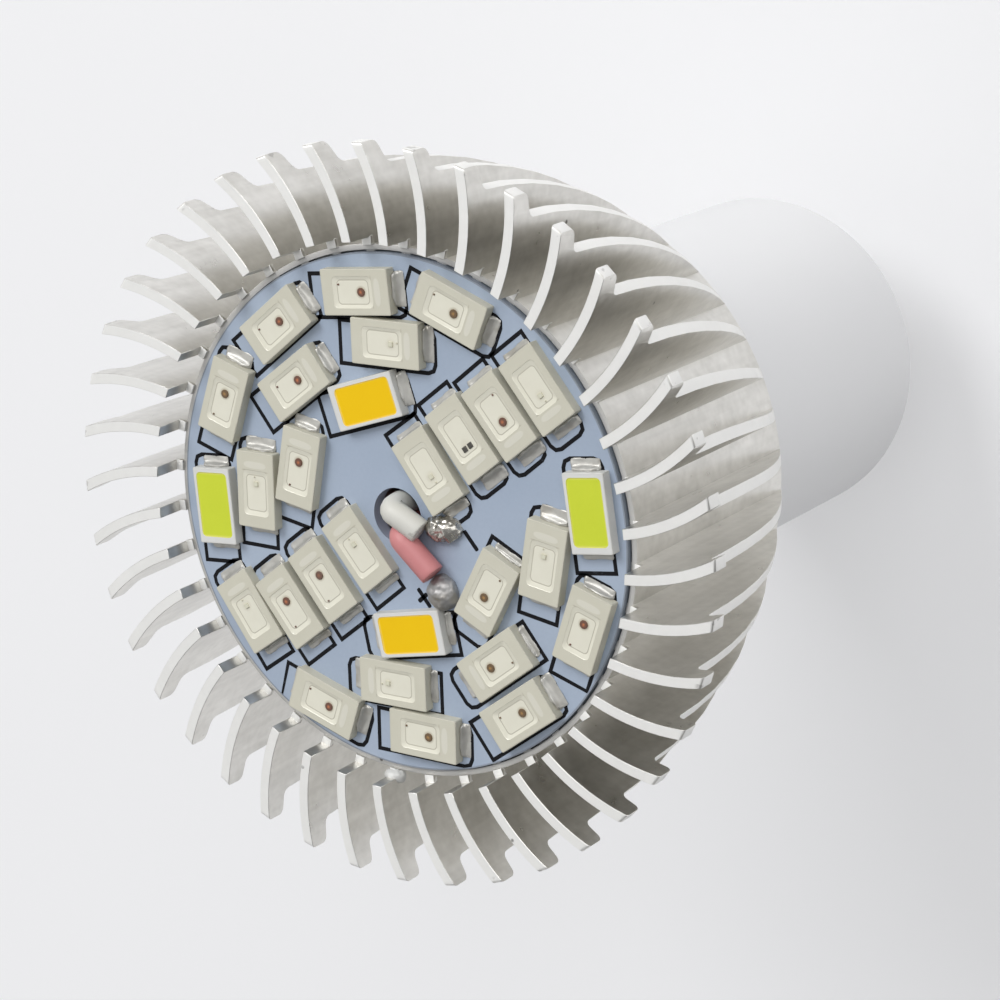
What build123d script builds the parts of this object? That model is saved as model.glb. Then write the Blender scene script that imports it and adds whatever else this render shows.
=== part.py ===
"""LED grow light bulb: turned finned heat sink, round LED board, wires, driver and two-pin twist base.

Frame: +Z runs from the base to the LED face, and the origin is the centre of the base's seat.
All sizes are in millimetres.
"""
import os

from build123d import *

# Heights on the lamp's axis
board_face_height = 51.5
fin_rise = 2.0
sink_length = 21.2

# LED board
board_radius = 17.2
board_thickness = 1.0
board_hole_radius = 1.85

# Heat sink: an extruded core with curved fins, turned to its outline
fin_count = 40
fin_thickness = 0.7
fin_phase = 2.9
fin_bend_radius = 14.5
fin_sweep_angle = 36.0
fin_root_depth = 1.2
ring_width = 0.4
lip_radius = 24.5
lip_length = 2.0
shoulder_step = 1.15
shoulder_slope = 0.6
waist_radius = 21.3
waist_drop = 13.0
ring_drop = 0.3
pocket_clearance = 0.1
recess_margin = 0.2
led_margin = 0.3
wire_bore_radius = 2.2

# Base shell
base_radius = 12.2
base_wall = 2.2
base_floor = 2.0
base_end_bevel = 1.1
plug_length = 6.0
plug_clearance = 0.05
socket_relief = 0.5
guide_height = 19.0
guide_thickness = 1.1
guide_grip = 1.3
guide_bite = 0.2
guide_clearance = 0.04

# Contact pins
pin_spacing = 10.0
pin_length = 7.3
pin_neck_radius = 1.5
pin_head_radius = 2.5
pin_head_length = 2.6
pin_tail_height = 3.0
pin_hole_clearance = 0.02

# Driver board and what is soldered to it
driver_side_gap = 1.1
driver_length = 22.0
driver_thickness = 1.0
smoothing_can_radius = 3.0
smoothing_can_length = 11.0
smoothing_can_start = 9.5
film_box_width = 7.0
film_box_length = 7.5
film_box_depth = 5.0
film_box_start = 9.2
choke_width = 4.6
choke_depth = 4.4
choke_guide_gap = 0.5
choke_start = 17.2
rectifier_width = 4.0
rectifier_length = 4.6
rectifier_depth = 2.4
rectifier_guide_gap = 1.1
rectifier_start = 2.4
chip_width = 3.9
chip_length = 4.9
chip_depth = 1.6
chip_guide_gap = 1.25
chip_start = 2.4
fuse_width = 2.6
fuse_depth = 2.4
fuse_length = 6.2
fuse_guide_gap = 0.9
fuse_start = 2.2

# LEDs: moulded bodies with a sunk window, and a solder joint at each end
led_length = 5.2
led_width = 3.0
led_height = 0.8
window_depth = 0.15
chip_window_length = 3.3
chip_window_width = 2.1
phosphor_window_length = 4.3
phosphor_window_width = 2.3
joint_length = 0.5
joint_width = 2.1
joint_height = 0.4

# Wires from the driver to the board, and the leads from the pins
wire_radius = 0.7
wire_pitch = 1.5
wire_offset = -0.3
wire_bend = 1.0
wire_lift = 0.05
lead_width = 1.0
lead_drop = 0.9
wire_end_gap = 0.95
pad_joint_radius = 0.95
pad_joint_sides = 6
pad_joint_height = 0.95

# Places on the board, in steps of its pitch: the wires' pads, and the LEDs by name, x, y and turn in degrees
layout_pitch = 1.0
negative_pad_place = (3.1, -0.6)
positive_pad_place = (3.3, -4.3)
led_places = [
    ("red_led_01", -8.1, 12.2, 37),
    ("red_led_02", -1.5, 14.7, 3),
    ("red_led_03", 5.5, 13.9, -24),
    ("blue_led_1", 0.5, 11.5, -2),
    ("red_led_04", -7.0, 8.4, 35),
    ("red_led_05", -12.9, 6.9, 69),
    ("warm_white_led_1", -1.4, 7.6, 16),
    ("blue_led_2", 3.1, 3.4, -56),
    ("ultraviolet_led", 5.9, 5.7, -54),
    ("red_led_06", 8.8, 7.4, -53),
    ("blue_led_3", 11.7, 9.3, -54),
    ("red_led_07", -7.2, 2.7, 77),
    ("blue_led_4", -10.8, 0.9, 87),
    ("cool_white_led_1", -14.4, -0.5, 92),
    ("blue_led_5", -12.2, -7.6, -57),
    ("red_led_08", -8.8, -6.9, -54),
    ("infrared_led", -5.9, -4.8, -54),
    ("blue_led_6", -2.9, -2.4, -53),
    ("warm_white_led_2", 0.8, -7.7, 9),
    ("red_led_09", -6.6, -13.4, -21),
    ("blue_led_7", -0.8, -11.3, -2),
    ("red_led_10", 1.3, -14.6, -3),
    ("red_led_11", 7.0, -4.2, 60),
    ("blue_led_8", 11.4, -1.8, 78),
    ("cool_white_led_2", 14.9, 1.7, 95),
    ("red_led_12", 14.0, -5.9, 69),
    ("red_led_13", 7.3, -9.0, 35),
    ("red_led_14", 8.8, -12.2, 34),
]

# Heights that follow from the sizes above
fin_front = board_face_height + fin_rise
sink_rear = fin_front - sink_length
board_seat = board_face_height - board_thickness
ring_face = board_face_height - ring_drop
lip_back = fin_front - lip_length
pocket_radius = board_radius + pocket_clearance
core_radius = pocket_radius + ring_width
led_centres = [(name, Vector(x, y) * layout_pitch, turn) for name, x, y, turn in led_places]
led_reach = max(
    (centre + Vector(end, side).rotate(Axis.Z, turn)).length
    for name, centre, turn in led_centres
    for end in (-led_length / 2, led_length / 2)
    for side in (-led_width / 2, led_width / 2)
)
recess_radius = max(core_radius + recess_margin, led_reach + led_margin)
shoulder_radius = lip_radius - shoulder_step
flank_start = lip_back - shoulder_slope
base_top = sink_rear + plug_length
socket_floor = base_top + socket_relief
tail_top = base_floor + pin_tail_height
driver_top = base_floor + driver_length
base_bore_radius = base_radius - base_wall
driver_width = 2 * (base_bore_radius - driver_side_gap)
driver_face = driver_thickness / 2
guide_start = driver_width / 2 - guide_grip
choke_side = guide_start - choke_guide_gap - choke_width / 2
rectifier_side = rectifier_guide_gap + rectifier_width / 2 - guide_start
chip_side = guide_start - chip_guide_gap - chip_width / 2
fuse_side = fuse_guide_gap + fuse_width / 2 - guide_start

os.makedirs("parts", exist_ok=True)


def save(piece, name):
    """Labels a finished piece and writes it to its own file."""
    piece.label = name
    export_step(piece, f"parts/{name}.step")


# One fin of the extrusion: it leaves the core square on and sweeps round towards its tip
with BuildSketch() as fin:
    with BuildLine():
        JernArc((core_radius - fin_root_depth, 0), (1, 0), fin_bend_radius, fin_sweep_angle)
    trace(line_width=fin_thickness)

# Heat sink: core and fins pulled as one section, then turned inside and out
with BuildPart() as heat_sink:
    with BuildSketch(Plane.XY.offset(sink_rear)):
        Circle(core_radius)
        with PolarLocations(0, fin_count, start_angle=fin_phase):
            add(fin.sketch)
    extrude(amount=sink_length)
    with BuildSketch(Plane.XZ):
        with BuildLine():
            Polyline(
                (shoulder_radius, flank_start),
                (lip_radius, lip_back),
                (lip_radius, fin_front),
                (recess_radius, fin_front),
                (recess_radius, ring_face),
                (pocket_radius, ring_face),
                (pocket_radius, board_seat),
                (wire_bore_radius, board_seat),
                (wire_bore_radius, socket_floor),
                (base_radius + plug_clearance, socket_floor),
                (base_radius + plug_clearance, sink_rear),
                (core_radius, sink_rear),
                (waist_radius, fin_front - waist_drop),
                close=True,
            )
        make_face()
    revolve(axis=Axis.Z, mode=Mode.INTERSECT)
save(heat_sink.part, "heat_sink")

# Round LED board with the wire hole in its middle
with BuildPart() as circuit_board:
    with BuildSketch(Plane.XY.offset(board_seat)):
        Circle(board_radius)
        Circle(board_hole_radius, mode=Mode.SUBTRACT)
    extrude(amount=board_thickness)
save(circuit_board.part, "circuit_board")

# LEDs: a moulded body with a sunk window over the chip
for name, centre, turn in led_centres:
    white = "white" in name
    window_length = phosphor_window_length if white else chip_window_length
    window_width = phosphor_window_width if white else chip_window_width
    seat = Plane((centre.X, centre.Y, board_face_height)).rotated((0, 0, turn))
    with BuildPart() as led:
        with BuildSketch(seat):
            Rectangle(led_length, led_width)
        extrude(amount=led_height)
        with BuildSketch(seat.offset(led_height)):
            Rectangle(window_length, window_width)
        extrude(amount=-window_depth, mode=Mode.SUBTRACT)
    save(led.part, name)

# Solder joints: a sloped bead of solder against each end of every LED
with BuildPart() as led_solder_joints:
    for name, centre, turn in led_centres:
        along = Plane((centre.X, centre.Y, board_face_height)).rotated((0, 0, turn))
        for side in (1, -1):
            across = Plane(along.origin, x_dir=along.x_dir * side, z_dir=along.y_dir * -side)
            with BuildSketch(across.offset(-joint_width / 2)):
                with BuildLine():
                    Polyline(
                        (led_length / 2, 0),
                        (led_length / 2 + joint_length, 0),
                        (led_length / 2, joint_height),
                        close=True,
                    )
                make_face()
            extrude(amount=joint_width)
save(led_solder_joints.part, "led_solder_joints")

# Base shell: a plain barrel that plugs into the heat sink's socket, hollow for the driver
with BuildPart() as base_shell:
    with BuildSketch(Plane.XZ):
        with BuildLine():
            Polyline(
                (0, 0),
                (base_radius - base_end_bevel, 0),
                (base_radius, base_end_bevel),
                (base_radius, base_top),
                (base_bore_radius, base_top),
                (base_bore_radius, base_floor),
                (0, base_floor),
                close=True,
            )
        make_face()
    revolve(axis=Axis.Z)
    slot_half = driver_thickness / 2 + guide_clearance
    with BuildSketch(Plane.XY.offset(base_floor)) as guides:
        for side_x in (1, -1):
            for side_y in (1, -1):
                with Locations(
                    (
                        side_x * (slot_half + guide_thickness / 2),
                        side_y * (guide_start + base_bore_radius) / 2,
                    )
                ):
                    Rectangle(guide_thickness, base_bore_radius - guide_start + guide_bite)
    extrude(amount=guide_height)
    with BuildSketch(Plane.XY):
        with GridLocations(pin_spacing, 0, 2, 1):
            Circle(pin_neck_radius + pin_hole_clearance)
    extrude(amount=base_floor, mode=Mode.SUBTRACT)
save(base_shell.part, "base_shell")

# Contact pins: headed twist-lock pins set through the base's floor
for name, side in (("contact_pin_1", 1), ("contact_pin_2", -1)):
    pin_axis = side * pin_spacing / 2
    with BuildPart() as contact_pin:
        with BuildSketch(Plane.XZ.move(Location((pin_axis, 0, 0)))):
            with BuildLine():
                Polyline(
                    (0, -pin_length),
                    (pin_head_radius, -pin_length),
                    (pin_head_radius, pin_head_length - pin_length),
                    (pin_neck_radius, pin_head_length - pin_length),
                    (pin_neck_radius, tail_top),
                    (0, tail_top),
                    close=True,
                )
            make_face()
        revolve(axis=Axis((pin_axis, 0, 0), (0, 0, 1)))
    save(contact_pin.part, name)

# Driver board, standing on the base's floor between the guides
with BuildPart() as driver_board:
    with BuildSketch(Plane.XY.offset(base_floor)):
        Rectangle(driver_thickness, driver_width)
    extrude(amount=driver_length)
save(driver_board.part, "driver_board")

# Smoothing capacitor, lying along the front of the driver board
with BuildPart() as smoothing_capacitor:
    with BuildSketch(Plane.XY.offset(base_floor + smoothing_can_start)):
        with Locations((driver_face + smoothing_can_radius, 0)):
            Circle(smoothing_can_radius)
    extrude(amount=smoothing_can_length)
save(smoothing_capacitor.part, "smoothing_capacitor")

# Film capacitor on the back of the driver board
with BuildPart() as film_capacitor:
    with BuildSketch(Plane.XY.offset(base_floor + film_box_start)):
        with Locations((-driver_face - film_box_depth / 2, 0)):
            Rectangle(film_box_depth, film_box_width)
    extrude(amount=film_box_length)
save(film_capacitor.part, "film_capacitor")

# Choke: a square block on the back of the driver board
with BuildPart() as choke:
    with BuildSketch(Plane.YZ.offset(-driver_face)):
        with Locations((choke_side, base_floor + choke_start + choke_width / 2)):
            Rectangle(choke_width, choke_width)
    extrude(amount=-choke_depth)
save(choke.part, "choke")

# Bridge rectifier and driver chip, flat on the two faces of the driver board
with BuildPart() as bridge_rectifier:
    with BuildSketch(Plane.XY.offset(base_floor + rectifier_start)):
        with Locations((driver_face + rectifier_depth / 2, rectifier_side)):
            Rectangle(rectifier_depth, rectifier_width)
    extrude(amount=rectifier_length)
save(bridge_rectifier.part, "bridge_rectifier")

with BuildPart() as driver_chip:
    with BuildSketch(Plane.XY.offset(base_floor + chip_start)):
        with Locations((-driver_face - chip_depth / 2, chip_side)):
            Rectangle(chip_depth, chip_width)
    extrude(amount=chip_length)
save(driver_chip.part, "driver_chip")

# Fuse, a small upright block on the back of the driver board
with BuildPart() as fuse:
    with BuildSketch(Plane.XY.offset(base_floor + fuse_start)):
        with Locations((-driver_face - fuse_depth / 2, fuse_side)):
            Rectangle(fuse_depth, fuse_width)
    extrude(amount=fuse_length)
save(fuse.part, "fuse")

# Pin leads: flat strips straight across from each pin's tail to the face of the driver board
for name, side in (("pin_lead_1", 1), ("pin_lead_2", -1)):
    with BuildPart() as pin_lead:
        with BuildSketch(Plane((side * driver_face, 0, tail_top - lead_drop), z_dir=(side, 0, 0))):
            Rectangle(lead_width, lead_width)
        extrude(amount=pin_spacing / 2 - pin_neck_radius - driver_face)
    save(pin_lead.part, name)

# Wires: up from the driver board's edge, through the bore, and over onto the pads
wire_height = board_face_height + wire_radius + wire_lift
wire_routes = (("negative_wire", 1, negative_pad_place), ("positive_wire", -1, positive_pad_place))
for name, side, place in wire_routes:
    wire_foot = Vector(wire_offset, side * wire_pitch / 2, driver_top)
    corner = Vector(wire_offset, side * wire_pitch / 2, wire_height)
    over_pad = Vector(*place) * layout_pitch + Vector(0, 0, wire_height)
    heading = (over_pad - corner).normalized()
    with BuildPart() as wire:
        with BuildLine():
            Polyline(
                wire_foot,
                corner - Vector(0, 0, wire_bend),
                corner + heading * wire_bend,
                over_pad - heading * wire_end_gap,
            )
        with BuildSketch(Plane(wire_foot)):
            Circle(wire_radius)
        sweep(transition=Transition.RIGHT)
    save(wire.part, name)

# Pad joints: the beads of solder that hold the wires' ends
for name, place in (("negative_pad_joint", negative_pad_place), ("positive_pad_joint", positive_pad_place)):
    pad = Vector(*place) * layout_pitch
    with BuildPart() as pad_joint:
        with BuildSketch(Plane((pad.X, pad.Y, board_face_height))):
            RegularPolygon(pad_joint_radius, pad_joint_sides)
        extrude(amount=pad_joint_height)
    save(pad_joint.part, name)
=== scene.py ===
import math

import bmesh
import bpy
from mathutils import Matrix, Vector


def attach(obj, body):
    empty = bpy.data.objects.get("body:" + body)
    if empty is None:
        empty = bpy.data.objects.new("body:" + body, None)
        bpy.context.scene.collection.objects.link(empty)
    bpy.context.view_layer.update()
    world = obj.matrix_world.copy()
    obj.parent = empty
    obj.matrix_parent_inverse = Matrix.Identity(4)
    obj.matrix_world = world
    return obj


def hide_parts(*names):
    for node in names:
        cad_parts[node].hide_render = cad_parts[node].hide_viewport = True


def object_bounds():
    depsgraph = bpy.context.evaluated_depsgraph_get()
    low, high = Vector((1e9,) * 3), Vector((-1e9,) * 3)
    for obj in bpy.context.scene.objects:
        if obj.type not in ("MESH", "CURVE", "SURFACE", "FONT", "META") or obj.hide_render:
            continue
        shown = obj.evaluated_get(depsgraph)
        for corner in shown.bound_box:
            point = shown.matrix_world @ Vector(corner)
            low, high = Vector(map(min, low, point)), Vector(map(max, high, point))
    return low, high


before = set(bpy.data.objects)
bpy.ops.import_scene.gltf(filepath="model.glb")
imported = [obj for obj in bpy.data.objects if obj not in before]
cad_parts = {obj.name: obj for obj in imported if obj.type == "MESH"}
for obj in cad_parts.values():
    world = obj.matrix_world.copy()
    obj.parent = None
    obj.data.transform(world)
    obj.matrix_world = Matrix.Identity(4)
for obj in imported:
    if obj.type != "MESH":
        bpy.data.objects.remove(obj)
cad_low, cad_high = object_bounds()

# Sizes of the lamp that the pieces share, in metres
MM = 0.001
BOARD_FACE = 51.5 * MM
BOARD_RADIUS = 17.2 * MM
BASE_RADIUS = 12.2 * MM
BASE_TOP = 38.3 * MM
BASE_FLOOR = 2.0 * MM
BASE_WALL = 2.2 * MM
PIN_OFFSET = 5.0 * MM
LED_LENGTH, LED_WIDTH, LED_HEIGHT = 5.2 * MM, 3.0 * MM, 0.8 * MM

# Sizes that are given in millimetres where they are used
DIE_PLACE = 0.42
WIRE_RADIUS = 0.84

# LED places: node, x and y in millimetres, and the turn that points the marked end along its own x
LED_PLACES = [
    ("red_led_01", -8.1, 12.2, 37),
    ("red_led_02", -1.5, 14.7, 3),
    ("red_led_03", 5.5, 13.9, -24),
    ("blue_led_1", 0.5, 11.5, -2),
    ("red_led_04", -7.0, 8.4, 35),
    ("red_led_05", -12.9, 6.9, 69),
    ("warm_white_led_1", -1.4, 7.6, 16),
    ("blue_led_2", 3.1, 3.4, -56),
    ("ultraviolet_led", 5.9, 5.7, -54),
    ("red_led_06", 8.8, 7.4, -53),
    ("blue_led_3", 11.7, 9.3, -54),
    ("red_led_07", -7.2, 2.7, 77),
    ("blue_led_4", -10.8, 0.9, 87),
    ("cool_white_led_1", -14.4, -0.5, 92),
    ("blue_led_5", -12.2, -7.6, 123),
    ("red_led_08", -8.8, -6.9, 126),
    ("infrared_led", -5.9, -4.8, 126),
    ("blue_led_6", -2.9, -2.4, 127),
    ("warm_white_led_2", 0.8, -7.7, 189),
    ("red_led_09", -6.6, -13.4, -21),
    ("blue_led_7", -0.8, -11.3, 178),
    ("red_led_10", 1.3, -14.6, -3),
    ("red_led_11", 7.0, -4.2, 240),
    ("blue_led_8", 11.4, -1.8, 78),
    ("cool_white_led_2", 14.9, 1.7, 95),
    ("red_led_12", 14.0, -5.9, 69),
    ("red_led_13", 7.3, -9.0, 215),
    ("red_led_14", 8.8, -12.2, 34),
]


class Shade:
    """One output of a finish's nodes. Arithmetic on it adds Math nodes to that finish."""

    def __init__(self, finish, socket):
        self.finish, self.socket = finish, socket

    def math(self, operation, first, second=0.0, third=0.0):
        return self.finish.node("Math", {"operation": operation}, {0: first, 1: second, 2: third})

    def __add__(self, other):
        return self.math("ADD", self, other)

    def __radd__(self, other):
        return self.math("ADD", other, self)

    def __sub__(self, other):
        return self.math("SUBTRACT", self, other)

    def __rsub__(self, other):
        return self.math("SUBTRACT", other, self)

    def __mul__(self, other):
        return self.math("MULTIPLY", self, other)

    def __rmul__(self, other):
        return self.math("MULTIPLY", other, self)

    def __truediv__(self, other):
        return self.math("DIVIDE", self, other)

    def __pow__(self, other):
        return self.math("POWER", self, other)

    def __abs__(self):
        return self.math("ABSOLUTE", self)

    def at_least(self, least):
        return self.math("MAXIMUM", self, least)

    def over(self, edge, soft):
        """1 where the value is above an edge, 0 below it, with a soft step between."""
        return self.finish.node(
            "MapRange",
            {"interpolation_type": "SMOOTHSTEP"},
            {"Value": self, "From Min": edge - soft, "From Max": edge + soft},
        )

    def within(self, low, high, soft):
        """1 where the value lies between two edges."""
        return self.over(low, soft) * (1 - self.over(high, soft))


class Nodes:
    """The nodes of a material or of the world."""

    def __init__(self, owner):
        owner.use_nodes = True
        self.tree = owner.node_tree

    def node(self, kind, settings=None, inputs=None, output=0):
        """Adds a node of a kind, sets it up, fills its sockets and returns one of its outputs."""
        made = self.tree.nodes.new("ShaderNode" + kind)
        for label, value in (settings or {}).items():
            if label == "stops":
                for place, colour in value[2:]:
                    made.color_ramp.elements.new(place)
                for element, (place, colour) in zip(made.color_ramp.elements, value):
                    element.position, element.color = place, (*colour, 1.0)
            else:
                setattr(made, label, value)
        for label, value in (inputs or {}).items():
            self.fill(made.inputs[label], value)
        return Shade(self, made.outputs[output])

    def fill(self, socket, value):
        if isinstance(value, Shade):
            self.tree.links.new(value.socket, socket)
        elif socket.type == "RGBA" and len(value) == 3:
            socket.default_value = (*value, 1.0)
        else:
            socket.default_value = value


class Finish(Nodes):
    """A procedural material: its principled shader and the nodes that feed it."""

    def __init__(self, name, **constants):
        self.material = bpy.data.materials.new(name)
        super().__init__(self.material)
        self.shader = self.tree.nodes["Principled BSDF"]
        for label, value in constants.items():
            self.shader.inputs[label.replace("_", " ").title().replace("Ior", "IOR")].default_value = value

    def feed(self, label, value):
        self.fill(self.shader.inputs[label], value)

    def place(self):
        """The point on the piece, in the lamp's own frame."""
        return self.node("TexCoord", output="Object")

    def chart(self):
        """The point on an LED's chart: along and across it, in millimetres from its middle."""
        along = self.node("SeparateXYZ", {}, {0: self.node("TexCoord", output="UV")})
        across = Shade(self, along.socket.node.outputs[1])
        return (along - 0.5) * (LED_LENGTH / MM), (across - 0.5) * (LED_WIDTH / MM)

    def axes(self):
        """The point's three coordinates and its distance from the lamp's axis, in metres."""
        x = self.node("SeparateXYZ", {}, {0: self.place()})
        y, z = (Shade(self, x.socket.node.outputs[k]) for k in (1, 2))
        return x, y, z, (x * x + y * y) ** 0.5

    def noise(self, scale, detail=3.0, rough=0.55, stretch=None):
        point = self.place()
        if stretch:
            point = self.node("Mapping", {}, {"Vector": point, "Scale": stretch})
        inputs = {"Vector": point, "Scale": scale, "Detail": detail, "Roughness": rough}
        return self.node("TexNoise", {}, inputs)

    def specks(self, scale, size):
        """Small scattered spots, 1 at their middles."""
        spot = self.node("TexVoronoi", {"feature": "F1"}, {"Vector": self.place(), "Scale": scale})
        return 1 - spot.over(size, size * 0.4)

    def ramp(self, factor, *stops):
        return self.node("ValToRGB", {"stops": stops}, {"Fac": factor})

    def mix(self, factor, first, second):
        """A colour between two colours."""
        return self.node("Mix", {"data_type": "RGBA"}, {0: factor, 6: first, 7: second}, output=2)

    def bump(self, height, strength, depth):
        return self.node("Bump", {}, {"Height": height, "Strength": strength, "Distance": depth})


def turned_aluminium():
    """Satin aluminium: mottled, with drawn lines along the fins, brighter turned edges, nicks, pits and
    painted shade on the recessed ring.
    """
    finish = Finish("turned_aluminium")
    x, y, z, radius = finish.axes()
    facing_x = finish.node("SeparateXYZ", {}, {0: finish.node("NewGeometry", output="Normal")})
    facing_y, facing_z = (Shade(finish, facing_x.socket.node.outputs[k]) for k in (1, 2))
    front = facing_z.over(0.8, 0.1)
    outward = (facing_x * x + facing_y * y) / radius
    turned = front + outward.over(0.84, 0.06) * radius.over(17.85 * MM, 0.05 * MM)
    cloud = finish.noise(260.0, 3.0, 0.65)
    mottle = finish.noise(1400.0, 1.0, 0.6)
    drawn = finish.noise(1500.0, 2.0, 0.6, (1.0, 1.0, 0.03))
    pits = finish.specks(330.0, 0.045) * finish.noise(300.0, 1.0).over(0.60, 0.03)
    nicks = finish.noise(900.0, 2.0).over(0.66, 0.03) * radius.over(24.1 * MM, 0.15 * MM)
    # Painted shade: the ring face in the recess between the board and the fins is darkened
    painted_ring_shade = (1 - radius.over(17.74 * MM, 0.02 * MM)) * front * (1 - z.over(51.22 * MM, 0.01 * MM))
    colour = finish.ramp(
        cloud * 0.5 + mottle * 0.25 + drawn * 0.25,
        (0.30, (0.60, 0.585, 0.545)),
        (0.70, (0.90, 0.885, 0.845)),
    )
    colour = finish.mix(turned * 0.8, colour, (0.93, 0.925, 0.90))
    colour = finish.mix(painted_ring_shade * 0.7, colour, (0.46, 0.45, 0.43))
    colour = finish.mix(nicks * 0.45, colour, (0.30, 0.29, 0.27))
    colour = finish.mix(pits * 0.85, colour, (0.10, 0.09, 0.08))
    finish.feed("Base Color", colour)
    finish.feed("Metallic", 1 - turned * 0.65)
    finish.feed("Roughness", 0.20 + cloud * 0.10 + mottle * 0.12 + turned * 0.20)
    relief = drawn * 0.6 + mottle * 0.4
    finish.feed("Normal", finish.bump(relief, 0.35, 0.025 * MM))
    return finish.material


def board_mask():
    """Pale blue-grey solder mask with faint clouding, a few specks of flux and a dark rim of painted shade.
    """
    finish = Finish("board_mask", roughness=0.42, coat_weight=0.15, coat_roughness=0.25)
    radius = finish.axes()[3]
    cloud = finish.noise(120.0, 2.0)
    grain = finish.noise(4000.0, 2.0)
    specks = finish.specks(260.0, 0.035) * finish.noise(150.0, 1.0).over(0.6, 0.03)
    colour = finish.ramp(
        cloud * 0.7 + grain * 0.3,
        (0.3, (0.345, 0.415, 0.525)),
        (0.7, (0.395, 0.465, 0.575)),
    )
    # Painted shade: a dark line along the board's rim, where the gap round the board lies in shade
    colour = finish.mix(radius.over(17.1 * MM, 0.03 * MM) * 0.6, colour, (0.16, 0.17, 0.19))
    colour = finish.mix(specks * 0.7, colour, (0.20, 0.22, 0.26))
    finish.feed("Base Color", colour)
    finish.feed("Normal", finish.bump(grain, 0.12, 0.01 * MM))
    return finish.material


def led_plastic(name, pale, deep):
    """Moulded LED body with a darker rim, a fine groove across its marked end darkened as painted shade,
    and a soft raised mark whose lighter colour is a painted highlight.
    """
    finish = Finish(name, roughness=0.5, specular_ior_level=0.4)
    along, across = finish.chart()
    cloud = finish.noise(700.0, 3.0)
    # Painted shade: the groove across the marked end is darkened
    line = along.within(1.27, 1.36, 0.02) * (1 - abs(across).over(1.05, 0.1))
    # A soft raised mark near the marked end; its lighter colour is a painted highlight
    mark = ((along - 1.72) / 0.24) ** 2.0 + (across / 0.92) ** 4.0
    raised_mark_highlight = 1 - mark.over(0.9, 0.25)
    rim = abs(along).over(2.5, 0.06) + abs(across).over(1.42, 0.05)
    colour = finish.mix(cloud, deep, pale)
    colour = finish.mix(line * 0.45, colour, (0.42, 0.39, 0.30))
    colour = finish.mix(raised_mark_highlight * 0.4, colour, (0.80, 0.78, 0.70))
    colour = finish.mix(rim * 0.25, colour, (0.50, 0.48, 0.41))
    finish.feed("Base Color", colour)
    finish.feed("Normal", finish.bump(cloud * 0.3 + raised_mark_highlight * 0.5 - line, 0.3, 0.03 * MM))
    return finish.material


def led_silicone(name, halo):
    """Clear silicone over a pale cup, with the cup's outline and a stain round its die."""
    finish = Finish(name, roughness=0.22, coat_weight=0.35, coat_roughness=0.12)
    along, across = finish.chart()
    cloud = finish.noise(900.0, 2.0)
    past_long = (abs(along + 0.2) - 0.93).at_least(0.0)
    past_wide = (abs(across) - 0.50).at_least(0.0)
    outline = ((past_long * past_long + past_wide * past_wide) ** 0.5).within(0.25, 0.31, 0.02)
    from_die = along - DIE_PLACE
    stain = 1 - ((from_die * from_die + across * across) ** 0.5).over(0.36, 0.14)
    colour = finish.mix(cloud, (0.74, 0.715, 0.595), (0.80, 0.78, 0.66))
    colour = finish.mix(stain * halo, colour, (0.30, 0.22, 0.10))
    colour = finish.mix(outline * 0.6, colour, (0.30, 0.27, 0.20))
    finish.feed("Base Color", colour)
    finish.feed("Normal", finish.bump(cloud, 0.08, 0.02 * MM))
    return finish.material


def phosphor(name, pale, deep):
    """Cured phosphor, fine grained and slightly uneven towards its rim."""
    finish = Finish(name, roughness=0.6, specular_ior_level=0.2)
    along, across = finish.chart()
    cloud = finish.noise(400.0, 3.0)
    grain = finish.noise(9000.0, 2.0)
    rim = abs(along - 0.078).over(2.106, 0.052) + abs(across).over(1.185, 0.048)
    colour = finish.mix(cloud * 0.7 + grain * 0.3, deep, pale)
    colour = finish.mix(rim * 0.35, colour, (0.85, 0.72, 0.30))
    finish.feed("Base Color", colour)
    finish.feed("Normal", finish.bump(grain, 0.15, 0.01 * MM))
    return finish.material


def die_finish(name, edge, middle, size):
    """A chip under silicone: dark at its edge, with its own colour in the middle."""
    finish = Finish(name, roughness=0.3, coat_weight=0.4)
    along, across = finish.chart()
    from_die = along - DIE_PLACE
    away = ((from_die * from_die + across * across) ** 0.5) / size
    grain = finish.noise(9000.0, 2.0)
    finish.feed("Base Color", finish.mix((away + grain * 0.5).over(0.62, 0.3), middle, edge))
    return finish.material


def solder_finish(name, pale, deep, shine, metal):
    """Tinned solder, bright where it flowed and dull where it cooled."""
    finish = Finish(name, metallic=metal)
    cloud = finish.noise(1300.0, 4.0)
    flux = finish.noise(500.0, 2.0).over(0.62, 0.05)
    colour = finish.mix(cloud, deep, pale)
    colour = finish.mix(flux * 0.35, colour, (0.30, 0.26, 0.19))
    finish.feed("Base Color", colour)
    finish.feed("Roughness", shine + cloud * 0.25)
    finish.feed("Normal", finish.bump(cloud, 0.4, 0.04 * MM))
    return finish.material


def ink_finish():
    """Black printed ink, a little thin in places."""
    finish = Finish("board_ink", roughness=0.7, specular_ior_level=0.2)
    wear = finish.noise(2500.0, 3.0)
    colour = finish.mix(wear.over(0.68, 0.05), (0.006, 0.006, 0.008), (0.03, 0.033, 0.04))
    finish.feed("Base Color", colour)
    finish.feed("Normal", finish.bump(wear, 0.1, 0.01 * MM))
    return finish.material


def white_plastic():
    """Semi-gloss white plastic with a faint moulded grain."""
    finish = Finish("white_plastic", coat_weight=0.2, coat_roughness=0.2)
    cloud = finish.noise(60.0, 3.0)
    grain = finish.noise(3000.0, 2.0)
    finish.feed("Base Color", finish.mix(cloud, (0.73, 0.73, 0.735), (0.78, 0.78, 0.78)))
    finish.feed("Roughness", 0.28 + cloud * 0.1)
    finish.feed("Normal", finish.bump(grain, 0.05, 0.01 * MM))
    return finish.material


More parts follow.
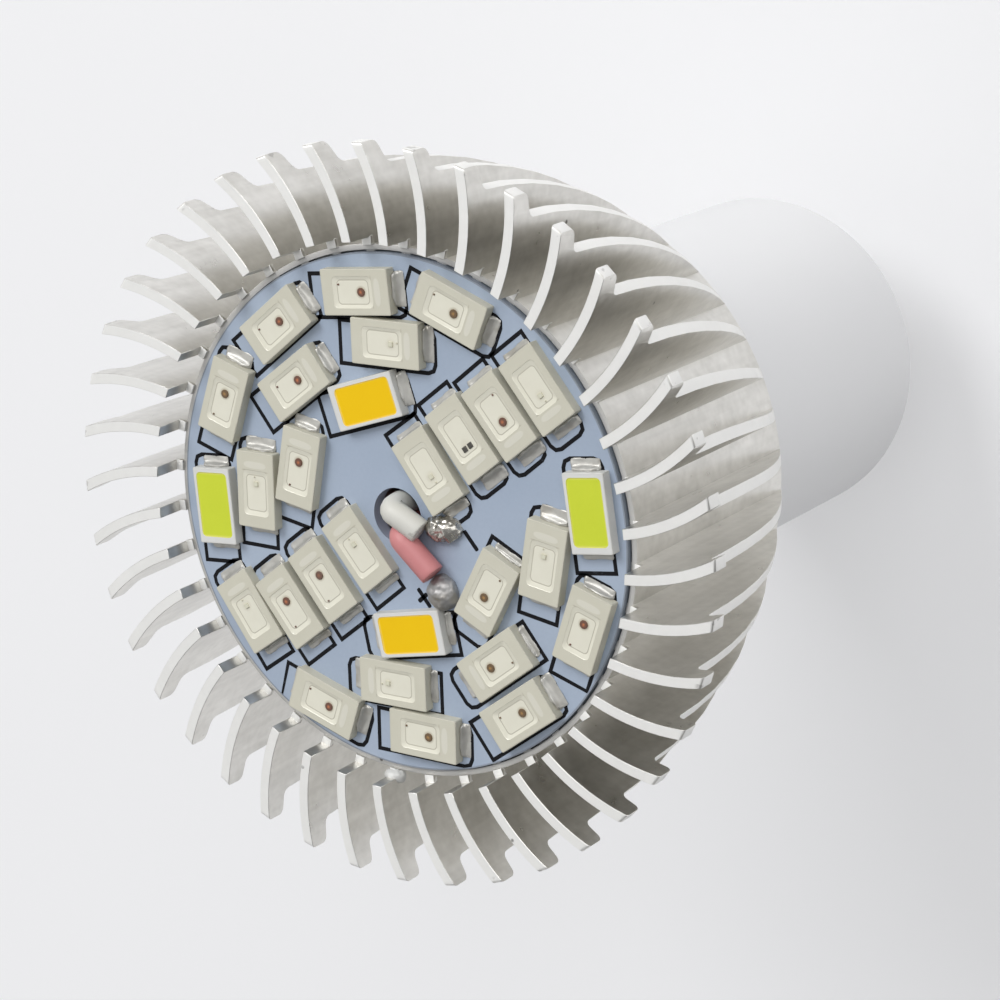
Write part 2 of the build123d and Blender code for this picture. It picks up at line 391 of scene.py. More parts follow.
def insulation(name, pale, deep, dirt):
    """Soft wire insulation with scuffs along it."""
    finish = Finish(name, roughness=0.45)
    cloud = finish.noise(600.0, 4.0)
    scuff = finish.noise(1100.0, 3.0, 0.6, (1.0, 1.0, 0.4)).over(0.64, 0.05)
    colour = finish.mix(cloud, deep, pale)
    finish.feed("Base Color", finish.mix(scuff * 0.5, colour, dirt))
    finish.feed("Normal", finish.bump(cloud, 0.15, 0.05 * MM))
    return finish.material


def plain_part(name, pale, deep, rough, scale, metal=0.0):
    """A small inner part: two close tones of one colour with a fine grain."""
    finish = Finish(name, roughness=rough, metallic=metal)
    cloud = finish.noise(scale, 3.0)
    finish.feed("Base Color", finish.mix(cloud, deep, pale))
    finish.feed("Normal", finish.bump(cloud, 0.1, 0.02 * MM))
    return finish.material


def begin(name, add, scale=(1, 1, 1), **size):
    """Adds one primitive by itself and puts its size and place into its mesh."""
    bpy.ops.object.select_all(action="DESELECT")
    add(**size)
    piece = bpy.context.active_object
    piece.name = piece.data.name = name
    piece.scale = scale
    bpy.ops.object.transform_apply(location=True, rotation=True, scale=True)
    return piece


def pick(piece, kind, test):
    """In edit mode, selects the verts, edges or faces that pass a test."""
    bpy.context.view_layer.objects.active = piece
    bpy.ops.object.mode_set(mode="EDIT")
    bpy.ops.mesh.select_mode(type={"verts": "VERT", "edges": "EDGE", "faces": "FACE"}[kind])
    bpy.ops.mesh.select_all(action="DESELECT")
    net = bmesh.from_edit_mesh(piece.data)
    for part in getattr(net, kind):
        if test(part):
            part.select_set(True)
    net.select_flush_mode()
    bmesh.update_edit_mesh(piece.data)


def pick_all(piece):
    pick(piece, "verts", lambda vert: True)


def done():
    bpy.ops.object.mode_set(mode="OBJECT")


def pull(x, y, z):
    """Extrudes what is selected."""
    bpy.ops.mesh.extrude_region_move(TRANSFORM_OT_translate={"value": (x, y, z)})


def face_outwards(piece):
    """Merges doubles, then turns every face outwards."""
    pick_all(piece)
    bpy.ops.mesh.remove_doubles(threshold=0.001 * MM)
    bpy.ops.mesh.normals_make_consistent(inside=False)
    done()


def cut_level(piece, height):
    """Cuts a piece off level at a height and closes the cut."""
    pick_all(piece)
    bpy.ops.mesh.bisect(plane_co=(0, 0, height), plane_no=(0, 0, 1), clear_inner=True)
    pick(piece, "edges", lambda edge: edge.is_boundary)
    bpy.ops.mesh.fill_holes(sides=0)
    bpy.ops.mesh.select_all(action="SELECT")
    bpy.ops.mesh.normals_make_consistent(inside=False)
    done()


def paint_selected(piece, index):
    piece.active_material_index = index
    bpy.ops.object.material_slot_assign()


def finish_modifier(piece, kind, **settings):
    """Adds a modifier, sets it and applies it."""
    bpy.ops.object.select_all(action="DESELECT")
    piece.select_set(True)
    bpy.context.view_layer.objects.active = piece
    added = piece.modifiers.new(kind.title(), kind)
    for label, value in settings.items():
        setattr(added, label, value)
    bpy.ops.object.modifier_apply(modifier=added.name)


def roughen(piece, lumps, depth):
    finish_modifier(piece, "DISPLACE", texture=lumps, texture_coords="LOCAL", strength=depth, mid_level=0.5)


def soften_edges(piece, width, segments):
    """Bevels the sharp edges of a finished form."""
    finish_modifier(
        piece,
        "BEVEL",
        width=width,
        segments=segments,
        limit_method="ANGLE",
        angle_limit=math.radians(50),
    )


def smooth(piece, degrees):
    bpy.ops.object.select_all(action="DESELECT")
    piece.select_set(True)
    bpy.context.view_layer.objects.active = piece
    bpy.ops.object.shade_smooth_by_angle(angle=math.radians(degrees))


def dress(piece, slot, *materials):
    piece.data.materials.clear()
    for material in materials:
        piece.data.materials.append(material)
    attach(piece, "root")


def copy_of(model, name, matrix):
    """A copy with its own mesh, set in its place in the mesh."""
    piece = bpy.data.objects.new(name, model.data.copy())
    bpy.context.scene.collection.objects.link(piece)
    piece.data.name = name
    piece.data.transform(matrix)
    return piece


def gather(name, pieces):
    """Joins pieces into one object."""
    bpy.ops.object.select_all(action="DESELECT")
    for piece in pieces:
        piece.select_set(True)
    bpy.context.view_layer.objects.active = pieces[0]
    bpy.ops.object.join()
    pieces[0].name = pieces[0].data.name = name
    return pieces[0]


def discard(*models):
    for model in models:
        bpy.data.objects.remove(model)


def on_board(x, y, turn):
    """Places a piece that was modelled at the origin onto the board's face."""
    return Matrix.Translation((x * MM, y * MM, BOARD_FACE)) @ Matrix.Rotation(math.radians(turn), 4, "Z")


def rounded_plate(name, long, wide, corner, middle, height, segments=4):
    """A flat plate with rounded corners, left in edit mode with its face selected."""
    plate = begin(
        name,
        bpy.ops.mesh.primitive_plane_add,
        size=1.0,
        location=(middle, 0, height),
        scale=(long, wide, 1),
    )
    pick_all(plate)
    bpy.ops.mesh.bevel(offset=corner, segments=segments, affect="VERTICES")
    bpy.ops.mesh.select_all(action="SELECT")
    return plate


def taper(long, wide, new_long, new_wide, middle):
    """Resizes what is selected from one length and width to another."""
    bpy.ops.transform.resize(value=(new_long / long, new_wide / wide, 1), center_override=(middle, 0, 0))


def chart_from_above(piece):
    """Gives an LED body a chart that follows its length and width."""
    layer = piece.data.uv_layers.active or piece.data.uv_layers.new(name="chart")
    for loop in piece.data.loops:
        point = piece.data.vertices[loop.vertex_index].co
        layer.data[loop.index].uv = (point.x / LED_LENGTH + 0.5, point.y / LED_WIDTH + 0.5)


def led_model(name, dies, cup_long, cup_wide, floor_long, floor_wide, shift, sink):
    """One LED: a rounded body, a cup bridged into its top, and the dies on the cup's floor.

    Each die is its place along and across the LED, its width and its number of corners, in millimetres.
    """
    body = rounded_plate(name, LED_LENGTH, LED_WIDTH, 0.10 * MM, 0, 0)
    pull(0, 0, LED_HEIGHT - 0.05 * MM)
    pull(0, 0, 0.035 * MM)
    taper(LED_LENGTH, LED_WIDTH, LED_LENGTH - 0.03 * MM, LED_WIDTH - 0.03 * MM, 0)
    pull(0, 0, 0.015 * MM)
    taper(LED_LENGTH, LED_WIDTH, LED_LENGTH - 0.07 * MM, LED_WIDTH - 0.07 * MM, 0)
    bpy.ops.mesh.delete(type="ONLY_FACE")
    done()
    cup = rounded_plate(name + "_cup", cup_long, cup_wide, 0.32 * MM, shift, LED_HEIGHT)
    pull(0, 0, -sink * 0.25)
    taper(cup_long, cup_wide, cup_long - 0.06 * MM, cup_wide - 0.06 * MM, shift)
    pull(0, 0, -sink * 0.75)
    taper(cup_long - 0.06 * MM, cup_wide - 0.06 * MM, floor_long, floor_wide, shift)
    pick(cup, "faces", lambda face: face.calc_center_median().z > LED_HEIGHT - sink * 0.05)
    bpy.ops.mesh.delete(type="ONLY_FACE")
    done()
    body = gather(name, [body, cup])
    for slot in range(3):
        body.data.materials.append(None)
    pick(body, "edges", lambda edge: edge.is_boundary)
    bpy.ops.mesh.bridge_edge_loops()
    done()
    face_outwards(body)

    def in_cup(face):
        middle = face.calc_center_median()
        deep = 0.3 * MM < middle.z < LED_HEIGHT - sink * 0.05
        return deep and abs(middle.x - shift) < cup_long / 2 and abs(middle.y) < cup_wide / 2

    pick(body, "faces", in_cup)
    paint_selected(body, 1)
    for x, y, side, corners in dies:
        bpy.ops.mesh.select_all(action="DESELECT")
        bpy.ops.mesh.primitive_cylinder_add(
            vertices=corners,
            radius=side * MM / 2 / math.cos(math.pi / corners),
            depth=0.14 * MM,
            location=(x * MM, y * MM, LED_HEIGHT - sink),
            rotation=(0, 0, math.pi / corners),
        )
        paint_selected(body, 2)
        bpy.ops.mesh.bevel(offset=0.02 * MM, segments=1)
    done()
    chart_from_above(body)
    smooth(body, 11)
    return body


# LEDs: each kind is modelled once, then copied to its places over the CAD bodies
cream = led_plastic("led_cream", (0.655, 0.635, 0.53), (0.595, 0.575, 0.47))
white_body = led_plastic("led_white_body", (0.74, 0.74, 0.72), (0.68, 0.68, 0.66))
silicone = led_silicone("led_silicone", 0.55)
clear_silicone = led_silicone("led_clear_silicone", 0.12)
warm_phosphor = phosphor("warm_phosphor", (0.93, 0.60, 0.003), (0.88, 0.54, 0.002))
cool_phosphor = phosphor("cool_phosphor", (0.66, 0.74, 0.055), (0.58, 0.66, 0.04))
red_die = die_finish("red_die", (0.14, 0.055, 0.03), (0.50, 0.15, 0.05), 0.25)
amber_die = die_finish("amber_die", (0.14, 0.08, 0.03), (0.36, 0.19, 0.05), 0.25)
brown_die = die_finish("brown_die", (0.14, 0.07, 0.045), (0.25, 0.10, 0.05), 0.30)
dark_die = die_finish("dark_die", (0.05, 0.045, 0.035), (0.09, 0.08, 0.06), 0.40)
pale_die = die_finish("pale_die", (0.62, 0.60, 0.46), (0.70, 0.69, 0.55), 0.30)

chip_cup = {
    "cup_long": 3.1 * MM,
    "cup_wide": 2.05 * MM,
    "floor_long": 2.5 * MM,
    "floor_wide": 1.6 * MM,
    "shift": -0.2 * MM,
    "sink": 0.10 * MM,
}
phosphor_cup = {
    "cup_long": 4.45 * MM,
    "cup_wide": 2.54 * MM,
    "floor_long": 4.38 * MM,
    "floor_wide": 2.47 * MM,
    "shift": 0.08 * MM,
    "sink": 0.03 * MM,
}
red_model = led_model("red_model", [(DIE_PLACE, 0, 0.56, 10), (-1.3, 0.5, 0.12, 4)], **chip_cup)
blue_model = led_model("blue_model", [(DIE_PLACE, 0, 0.34, 4), (0.9, 0.1, 0.10, 4)], **chip_cup)
violet_model = led_model("violet_model", [(0.62, 0.28, 0.36, 4), (0.62, -0.22, 0.36, 4)], **chip_cup)
white_model = led_model("white_model", [], **phosphor_cup)
AMBER_DIES = {"red_led_03", "red_led_05", "red_led_10", "red_led_11", "red_led_13", "red_led_14"}
for node, x, y, turn in LED_PLACES:
    if "white" in node:
        model, slot = white_model, "led_white_phosphor"
        finishes = (white_body, warm_phosphor if "warm" in node else cool_phosphor)
    elif "red" in node:
        model, slot = red_model, "led_body"
        die = brown_die if "infrared" in node else amber_die if node in AMBER_DIES else red_die
        finishes = (cream, silicone, die)
    else:
        model, slot = (violet_model if "violet" in node else blue_model), "led_body"
        finishes = (cream, clear_silicone, dark_die if "violet" in node else pale_die)
    led = copy_of(model, "dressed_" + node, on_board(x, y, turn))
    faces = [face.material_index for face in led.data.polygons]
    dress(led, slot, *finishes)
    led.data.polygons.foreach_set("material_index", faces)
    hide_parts(node)
discard(red_model, blue_model, violet_model, white_model)

# Solder at the LEDs' ends: a lumpy fillet from the pad up the body, fuller at the marked end
tinned = solder_finish("tinned_solder", (0.68, 0.67, 0.63), (0.40, 0.39, 0.36), 0.32, 0.55)
joint_lumps = bpy.data.textures.new("joint_lumps", "CLOUDS")
joint_lumps.noise_scale = 0.45 * MM
joint_lumps.noise_depth = 2
# A fillet's underside goes down before the cut, so that the cut only meets its sides
UNDERSIDE_NORMAL = -0.3
UNDERSIDE_DROP = 0.5 * MM


def joint_model(name, pad_long, wide, climb):
    """A fillet of solder on the board, from a pad's length out along X up to the wall at x = 0."""
    fillet = rounded_plate(name, pad_long, wide, 0.15 * MM, pad_long / 2, 0, 2)
    pull(0, 0, 0.05 * MM)
    for share, rise in ((0.45, 0.10), (0.75, 0.40), (0.55, 0.50)):
        pull(0, 0, climb * rise)
        bpy.ops.transform.resize(value=(share, 0.95, 1), center_override=(0, 0, 0))
    done()
    face_outwards(fillet)
    finish_modifier(fillet, "SUBSURF", levels=2, render_levels=2)
    roughen(fillet, joint_lumps, 0.22 * MM)
    pick(fillet, "verts", lambda vert: vert.normal.z < UNDERSIDE_NORMAL)
    bpy.ops.transform.translate(value=(0, 0, -UNDERSIDE_DROP))
    cut_level(fillet, 0)
    return fillet


flowed = [
    joint_model("flowed_joint", 0.80 * MM, 2.30 * MM, 0.34 * MM),
    joint_model("flowed_joint", 0.72 * MM, 2.20 * MM, 0.40 * MM),
    joint_model("flowed_joint", 0.86 * MM, 2.10 * MM, 0.28 * MM),
]
thin = joint_model("thin_joint", 0.50 * MM, 2.25 * MM, 0.16 * MM)
joints = []
for index, (node, x, y, turn) in enumerate(LED_PLACES):
    lean = 0.10 * MM * math.sin(index * 2.4)
    swell = Matrix.Diagonal((1 + 0.12 * math.sin(index * 1.7), 1 - 0.06 * math.cos(index * 2.9), 1, 1))
    ahead = Matrix.Translation((LED_LENGTH / 2, lean, 0)) @ swell
    behind = Matrix.Rotation(math.pi, 4, "Z") @ Matrix.Translation((LED_LENGTH / 2, -lean, 0))
    joints.append(copy_of(flowed[index % 3], "joint", on_board(x, y, turn) @ ahead))
    joints.append(copy_of(thin, "joint", on_board(x, y, turn) @ behind))
joints = gather("solder_joints", joints)
smooth(joints, 50)
dress(joints, "solder", tinned)
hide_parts("led_solder_joints")
discard(*flowed, thin)

# Print on the board: an outline round each LED, cut at its marked end, and the two polarity marks
INK_LINE, INK_HIGH = 0.27 * MM, 0.012 * MM
PRINT_RADIUS = BOARD_RADIUS - 0.1 * MM
PRINT_SHIFT_X, PRINT_SHIFT_Y = -0.35, -0.36
outline = begin(
    "outline_model",
    bpy.ops.mesh.primitive_plane_add,
    size=1.0,
    scale=(7.6 * MM, 3.12 * MM, 1),
)
pick(outline, "verts", lambda vert: vert.co.x > 0)
bpy.ops.mesh.bevel(offset=0.68 * MM, segments=2, affect="VERTICES")
pick_all(outline)
bpy.ops.mesh.inset(thickness=INK_LINE)
bpy.ops.mesh.delete(type="FACE")
bpy.ops.mesh.select_all(action="SELECT")
pull(0, 0, INK_HIGH)
done()
face_outwards(outline)
for step in range(-6, 7):
    pick_all(outline)
    bpy.ops.mesh.bisect(plane_co=(step * 0.6 * MM, 0, 0), plane_no=(1, 0, 0))
    done()
prints = [
    copy_of(outline, "print", on_board(x + PRINT_SHIFT_X, y + PRINT_SHIFT_Y, turn))
    for node, x, y, turn in LED_PLACES
]


def stroke(start, end):
    """One printed stroke between two points of the board, in millimetres."""
    run = Vector(end) - Vector(start)
    middle = (Vector(start) + Vector(end)) / 2
    mark = rounded_plate("stroke", run.length * MM, 0.3 * MM, 0.1 * MM, 0, 0, 3)
    pull(0, 0, INK_HIGH)
    done()
    face_outwards(mark)
    mark.data.transform(on_board(middle.x, middle.y, math.degrees(math.atan2(run.y, run.x))))
    return mark


prints.append(stroke((5.1, -0.5), (6.05, -1.75)))
prints.append(stroke((1.2, -4.75), (2.1, -5.95)))
prints.append(stroke((1.2, -5.65), (1.9, -5.05)))
board_print = gather("board_print", prints)
for vertex in board_print.data.vertices:
    away = math.hypot(vertex.co.x, vertex.co.y)
    if away > PRINT_RADIUS:
        vertex.co.xy *= PRINT_RADIUS / away
dress(board_print, "board_mask", ink_finish())
discard(outline)

# Wires: smooth tubes close to the CAD route, each with a softened cut end
white_cover = insulation("white_cover", (0.70, 0.69, 0.64), (0.60, 0.59, 0.54), (0.30, 0.28, 0.25))
pink_cover = insulation("pink_cover", (0.62, 0.25, 0.25), (0.54, 0.195, 0.20), (0.42, 0.17, 0.17))


def tube(name, points, radius):
    """A round tube along a smooth spline with these control points, as a closed mesh."""
    line = bpy.data.curves.new(name, "CURVE")
    line.dimensions = "3D"
    spline = line.splines.new("NURBS")
    spline.points.add(len(points) - 1)
    for control, point in zip(spline.points, points):
        control.co = (*(Vector(point) * MM), 1.0)
    spline.order_u = 3
    spline.use_endpoint_u = True
    spline.resolution_u = 8
    line.bevel_depth = radius * MM
    line.bevel_resolution = 6
    line.use_fill_caps = True
    made = bpy.data.objects.new(name, line)
    bpy.context.scene.collection.objects.link(made)
    bpy.ops.object.select_all(action="DESELECT")
    made.select_set(True)
    bpy.context.view_layer.objects.active = made
    bpy.ops.object.convert(target="MESH")
    made = bpy.context.active_object
    face_outwards(made)
    return made


def wire(name, node, points, slot, cover):
    """A wire's insulation from the driver, up through the hole and over to its cut end."""
    covering = tube(name, points, WIRE_RADIUS)
    pick(covering, "edges", lambda edge: edge.is_manifold and edge.calc_face_angle(0.0) > 1.0)
    bpy.ops.mesh.bevel(offset=0.1 * MM, segments=2)
    done()
    smooth(covering, 40)
    dress(covering, slot, cover)
    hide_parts(node)


wire(
    "white_wire",
    "negative_wire",
    [
        (-0.3, 0.75, 24.0),
        (-0.3, 0.75, 40.0),
        (0.0, 0.76, 48.0),
        (0.1, 0.76, 50.8),
        (0.2, 0.72, 52.6),
        (1.2, 0.2, 52.6),
        (2.35, -0.62, 52.42),
    ],
    "white_insulation",
    white_cover,
)
wire(
    "pink_wire",
    "positive_wire",
    [
        (-0.3, -0.95, 24.0),
        (-0.3, -0.95, 40.0),
        (0.4, -0.95, 48.0),
        (0.55, -0.95, 50.6),
        (0.7, -0.98, 52.5),
        (1.7, -1.95, 52.5),
        (3.1, -3.4, 52.42),
    ],
    "pink_insulation",
    pink_cover,
)

# Beads of solder on the wires' pads
bright_bead = solder_finish("bright_bead", (0.75, 0.73, 0.68), (0.30, 0.28, 0.24), 0.12, 0.85)
dull_bead = solder_finish("dull_bead", (0.52, 0.51, 0.50), (0.36, 0.355, 0.35), 0.38, 0.75)


def bead(name, node, place, spread, lump, finish):
    """A lump of solder: a squashed ball, roughened, flat where it meets the board."""
    ball = begin(
        name,
        bpy.ops.mesh.primitive_ico_sphere_add,
        subdivisions=5,
        radius=1.0,
        location=(place[0] * MM, place[1] * MM, BOARD_FACE + 0.1 * MM),
        scale=[size * MM for size in spread],
    )
    rough = bpy.data.textures.new(name + "_lumps", "CLOUDS")
    rough.noise_scale = 0.55 * MM
    rough.noise_depth = 2
    roughen(ball, rough, lump * MM)
    cut_level(ball, BOARD_FACE)
    smooth(ball, 60)
    dress(ball, "solder", finish)
    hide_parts(node)


bead("bright_pad_bead", "negative_pad_joint", (3.6, -0.5), (1.45, 0.85, 0.8), 0.5, bright_bead)
bead("dull_pad_bead", "positive_pad_joint", (3.3, -4.75), (1.12, 1.2, 0.95), 0.26, dull_bead)


# Heat sink: a lathe-turned core, and one curved fin that is copied round it
def drawn_outline(name, points):
    """A chain of points in the XZ plane, pulled from one point to the next, left in edit mode."""
    chain = begin(name, bpy.ops.mesh.primitive_plane_add, size=MM)
    pick_all(chain)
    bpy.ops.mesh.merge(type="CENTER")
    last = Vector(points[0])
    bpy.ops.transform.translate(value=(last.x * MM, 0, last.y * MM))
    for point in points[1:]:
        step = Vector(point) - last
        pull(step.x * MM, 0, step.y * MM)
        last = Vector(point)
    bpy.ops.mesh.select_all(action="SELECT")
    return chain


core = drawn_outline(
    "sink_core",
    [
        (17.7, 32.3),
        (17.7, 51.2),
        (17.3, 51.2),
        (17.3, 50.5),
        (2.2, 50.5),
        (2.2, 38.8),
        (12.25, 38.8),
        (12.25, 32.3),
        (17.7, 32.3),
    ],
)
bpy.ops.mesh.spin(steps=160, angle=math.tau, center=(0, 0, 0), axis=(0, 0, 1))
done()
face_outwards(core)
soften_edges(core, 0.05 * MM, 2)

FIN_COUNT, FIN_PHASE, FIN_HALF = 40, 2.9, 0.35 * MM
FIN_BEND, FIN_ROOT = 14.5 * MM, 16.5 * MM
FIN_SLICES, FIRST_SLICE, SLICE_STEP = 14, 17.6, 0.5
LIP_FRONT, LIP_BACK, SHOULDER = (24.5, 53.5), (24.5, 51.95), (23.05, 51.65)
fin = drawn_outline(
    "fin_model",
    [
        (18.15, 53.5),
        LIP_FRONT,
        LIP_BACK,
        SHOULDER,
        (22.92, 48.85),
        (22.58, 46.04),
        (22.04, 43.25),
        (21.3, 40.5),
        (20.57, 38.37),
        (19.73, 36.3),
        (18.77, 34.27),
        (17.7, 32.3),
        (17.2, 32.3),
        (17.2, 51.1),
        (18.15, 51.1),
        (18.15, 53.5),
    ],
)
bpy.ops.mesh.remove_doubles(threshold=0.001 * MM)
bpy.ops.mesh.edge_face_add()


def stands_at(vert, place):
    radius, height = place
    return abs(vert.co.x - radius * MM) < 0.01 * MM and abs(vert.co.z - height * MM) < 0.01 * MM


for place, soft in ((LIP_FRONT, 0.2), (LIP_BACK, 0.4), (SHOULDER, 0.4)):
    pick(fin, "verts", lambda vert: stands_at(vert, place))
    bpy.ops.mesh.bevel(offset=soft * MM, segments=4, affect="VERTICES")
bpy.ops.mesh.select_all(action="SELECT")
bpy.ops.transform.translate(value=(0, -FIN_HALF, 0))
pull(0, 2 * FIN_HALF, 0)
done()
face_outwards(fin)
for step in range(FIN_SLICES):
    pick_all(fin)
    bpy.ops.mesh.bisect(plane_co=((FIRST_SLICE + step * SLICE_STEP) * MM, 0, 0), plane_no=(1, 0, 0))
    done()
# Each slice of the flat fin goes to the place on the bend that is as far from the lamp's axis
middle_away = math.hypot(FIN_ROOT, FIN_BEND)
middle_angle = math.atan2(FIN_BEND, FIN_ROOT)
for vertex in fin.data.vertices:
    bend = FIN_BEND - vertex.co.y
    reach = (vertex.co.x**2 - middle_away**2 - bend**2) / (2 * bend * middle_away)
    around = middle_angle - math.acos(max(-1.0, min(1.0, reach)))
    vertex.co.xy = (FIN_ROOT + bend * math.cos(around), FIN_BEND + bend * math.sin(around))
soften_edges(fin, 0.025 * MM, 1)
block = begin(
    "root_block",
    bpy.ops.mesh.primitive_cube_add,
    size=1.0,
    location=(17.93 * MM, 0.06 * MM, 51.25 * MM),
    scale=(0.62 * MM, 0.74 * MM, 0.34 * MM),
)
pick_all(block)
bpy.ops.mesh.bevel(offset=0.07 * MM, segments=2)
done()
fin = gather("fin_model", [fin, block])
fins = [
    copy_of(fin, "fin", Matrix.Rotation(math.radians(FIN_PHASE + 360 / FIN_COUNT * count), 4, "Z"))
    for count in range(FIN_COUNT)
]
sink = gather("finned_sink", [core] + fins)
discard(fin)
smooth(sink, 40)
finish_modifier(sink, "WEIGHTED_NORMAL", weight=80, keep_sharp=True)
dress(sink, "turned_aluminium", turned_aluminium())
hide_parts("heat_sink")

# A small whitish bead of glue in a gap at the ring
glue = begin(
    "glue_bead",
    bpy.ops.mesh.primitive_ico_sphere_add,
    subdivisions=4,
    radius=1.0,
    location=(-1.85 * MM, -18.1 * MM, 51.25 * MM),
    scale=(0.75 * MM, 0.55 * MM, 0.6 * MM),
)
roughen(glue, joint_lumps, 0.2 * MM)
smooth(glue, 60)
dried_glue = plain_part("dried_glue", (0.74, 0.74, 0.72), (0.62, 0.62, 0.60), 0.35, 900.0)
dress(glue, "white_plastic", dried_glue)

# Base: a barrel with a soft end, bored out for the driver, with two holes for the pins
base = begin(
    "base_barrel",
    bpy.ops.mesh.primitive_cylinder_add,
    vertices=128,
    radius=BASE_RADIUS,
    depth=BASE_TOP,
    location=(0, 0, BASE_TOP / 2),
)
pick(base, "edges", lambda edge: all(vert.co.z < 0.1 * MM for vert in edge.verts))
bpy.ops.mesh.bevel(offset=1.7 * MM, segments=8)
pick(base, "faces", lambda face: len(face.verts) > 4 and face.normal.z < 0)
bpy.ops.mesh.inset(thickness=0.5 * MM)
pull(0, 0, 0.2 * MM)
pick(base, "faces", lambda face: len(face.verts) > 4 and face.normal.z > 0.5)
bpy.ops.mesh.inset(thickness=BASE_WALL)
pull(0, 0, BASE_FLOOR - BASE_TOP)
done()
for side in (1, -1):
    drill = begin(
        "pin_drill",
        bpy.ops.mesh.primitive_cylinder_add,
        vertices=48,
        radius=1.52 * MM,
        depth=8 * MM,
        location=(side * PIN_OFFSET, 0, 0),
    )
    finish_modifier(base, "BOOLEAN", operation="DIFFERENCE", object=drill, solver="EXACT")
    discard(drill)
smooth(base, 40)
dress(base, "white_plastic", white_plastic())
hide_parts("base_shell")

# Contact pins: turned heads with rounded rims on plain stems
pin_nickel = plain_part("pin_nickel", (0.80, 0.79, 0.76), (0.66, 0.65, 0.62), 0.22, 900.0, 1.0)
for node, side in (("contact_pin_1", 1), ("contact_pin_2", -1)):
    pin = begin(
        "turned_" + node,
        bpy.ops.mesh.primitive_cylinder_add,
        vertices=64,
        radius=2.5 * MM,
        depth=2.6 * MM,
        location=(side * PIN_OFFSET, 0, -6.0 * MM),
    )
    pick(pin, "edges", lambda edge: abs(edge.verts[0].co.z - edge.verts[1].co.z) < 0.1 * MM)
    bpy.ops.mesh.bevel(offset=0.35 * MM, segments=4)
    pick(pin, "faces", lambda face: len(face.verts) > 4 and face.normal.z > 0.5)
    bpy.ops.mesh.inset(thickness=0.65 * MM)
    pull(0, 0, 9.7 * MM)
    done()
    smooth(pin, 40)
    dress(pin, "pin_metal", pin_nickel)
    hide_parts(node)

# Finishes of the CAD nodes that keep their own shape
driver_laminate = plain_part("driver_laminate", (0.10, 0.24, 0.08), (0.07, 0.18, 0.06), 0.4, 800.0)
capacitor_sleeve = plain_part("capacitor_sleeve", (0.04, 0.04, 0.05), (0.02, 0.02, 0.03), 0.35, 600.0)
capacitor_case = plain_part("capacitor_case", (0.36, 0.07, 0.04), (0.28, 0.05, 0.03), 0.4, 700.0)
ferrite = plain_part("ferrite", (0.07, 0.07, 0.07), (0.045, 0.045, 0.045), 0.55, 1500.0)
chip_plastic = plain_part("chip_plastic", (0.03, 0.03, 0.03), (0.018, 0.018, 0.018), 0.5, 2000.0)
fuse_coat = plain_part("fuse_coat", (0.22, 0.42, 0.44), (0.17, 0.34, 0.36), 0.45, 900.0)
own_shape = {
    "circuit_board": board_mask(),
    "driver_board": driver_laminate,
    "smoothing_capacitor": capacitor_sleeve,
    "film_capacitor": capacitor_case,
    "choke": ferrite,
    "bridge_rectifier": chip_plastic,
    "driver_chip": chip_plastic,
    "fuse": fuse_coat,
    "pin_lead_1": tinned,
    "pin_lead_2": tinned,
}
for node, material in own_shape.items():
    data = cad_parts[node].data
    data.materials.clear()
    data.materials.append(material)

# Pale floor under the pins, which shines a little where it is seen or mirrored
FLOOR_SHINE = 0.38
floor = begin("floor", bpy.ops.mesh.primitive_plane_add, size=40.0, location=(0, 0, cad_low.z - 0.05 * MM))
ground = Finish("pale_floor", roughness=0.7, specular_ior_level=0.15)
ground.feed("Base Color", ground.mix(ground.noise(25.0, 1.0), (0.87, 0.87, 0.885), (0.89, 0.89, 0.90)))
rays = ground.node("LightPath").socket.node.outputs
seen = Shade(ground, rays["Is Camera Ray"])
mirrored = Shade(ground, rays["Is Glossy Ray"])
through = Shade(ground, rays["Is Transmission Ray"])
glow = ground.node("Emission", {}, {"Color": (0.95, 0.95, 0.96), "Strength": 1.0})
lit = Shade(ground, ground.shader.outputs[0])
blend = ground.node("MixShader", {}, {0: FLOOR_SHINE * (seen + mirrored + through), 1: lit, 2: glow})
ground.fill(ground.tree.nodes["Material Output"].inputs["Surface"], blend)
floor.data.materials.append(ground.material)

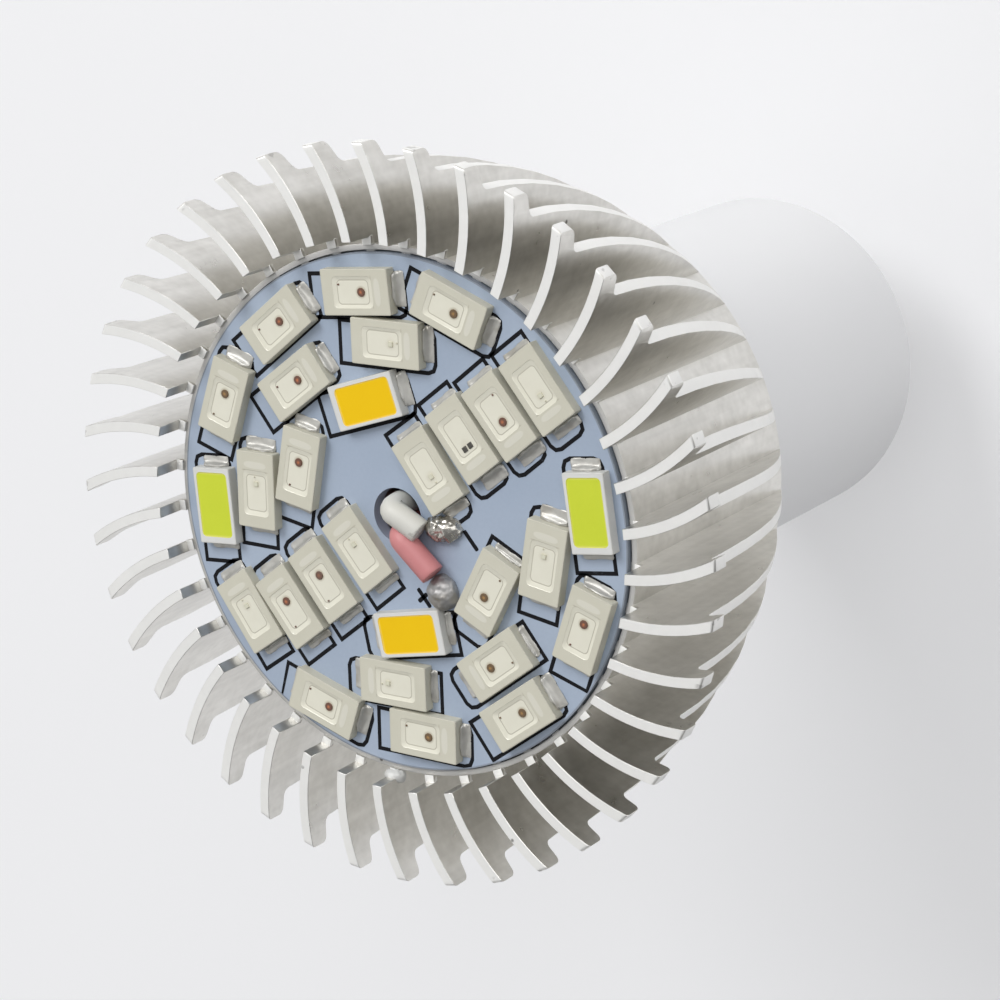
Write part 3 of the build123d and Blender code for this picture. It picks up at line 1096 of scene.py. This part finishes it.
# Camera at the photograph's angle, with its picture axes in the lamp's frame
right = Vector((0.8377, -0.061, -0.5428))
up = Vector((-0.0884, 0.9655, -0.2449))
back = Vector((0.539, 0.2531, 0.8034))
PICTURE_WIDTH, FOCAL_PIXELS, SENSOR_WIDTH = 1000, 3106.44, 36.0
lens = bpy.data.cameras.new("camera")
lens.sensor_width = SENSOR_WIDTH
lens.lens = FOCAL_PIXELS / PICTURE_WIDTH * SENSOR_WIDTH
lens.clip_start, lens.clip_end = 0.01, 20.0
camera = bpy.data.objects.new("camera", lens)
bpy.context.scene.collection.objects.link(camera)
eye = Vector((113.23, 51.19, 208.35)) * MM
camera.matrix_world = Matrix(
    (
        (right.x, up.x, back.x, eye.x),
        (right.y, up.y, back.y, eye.y),
        (right.z, up.z, back.z, eye.z),
        (0, 0, 0, 1),
    )
)
bpy.context.scene.camera = camera


def softbox(name, offset, size, power):
    """A square lamp that looks at the board, placed by its offset along the picture's axes."""
    lamp = bpy.data.lights.new(name, "AREA")
    lamp.size = size
    lamp.energy = power
    made = bpy.data.objects.new(name, lamp)
    bpy.context.scene.collection.objects.link(made)
    target = Vector((0, 0, 40 * MM))
    made.location = target + right * offset[0] + up * offset[1] + back * offset[2]
    made.rotation_euler = (target - made.location).to_track_quat("-Z", "Y").to_euler()


softbox("key_softbox", (-0.66, 0.46, 0.58), 0.45, 5.1)
softbox("front_softbox", (-0.10, 0.35, 0.95), 0.6, 2.1)
softbox("left_softbox", (-0.87, -0.39, 0.29), 0.9, 1.2)
softbox("right_softbox", (0.70, 0.20, 0.60), 0.5, 1.6)

# Soft surroundings: bright above the picture, dim below it
world = bpy.data.worlds.new("studio")
bpy.context.scene.world = world
sky = Nodes(world)
away = sky.node("TexCoord")
upward = sky.node("VectorMath", {"operation": "DOT_PRODUCT"}, {0: away, 1: up}, output="Value")
strength = sky.node(
    "MapRange",
    {},
    {"Value": upward, "From Min": -0.7, "From Max": 0.8, "To Min": 0.20, "To Max": 0.62},
)
backdrop = world.node_tree.nodes["Background"]
sky.fill(backdrop.inputs["Color"], (0.97, 0.98, 1.0))
sky.fill(backdrop.inputs["Strength"], strength)
bpy.context.scene.view_settings.view_transform = "Standard"
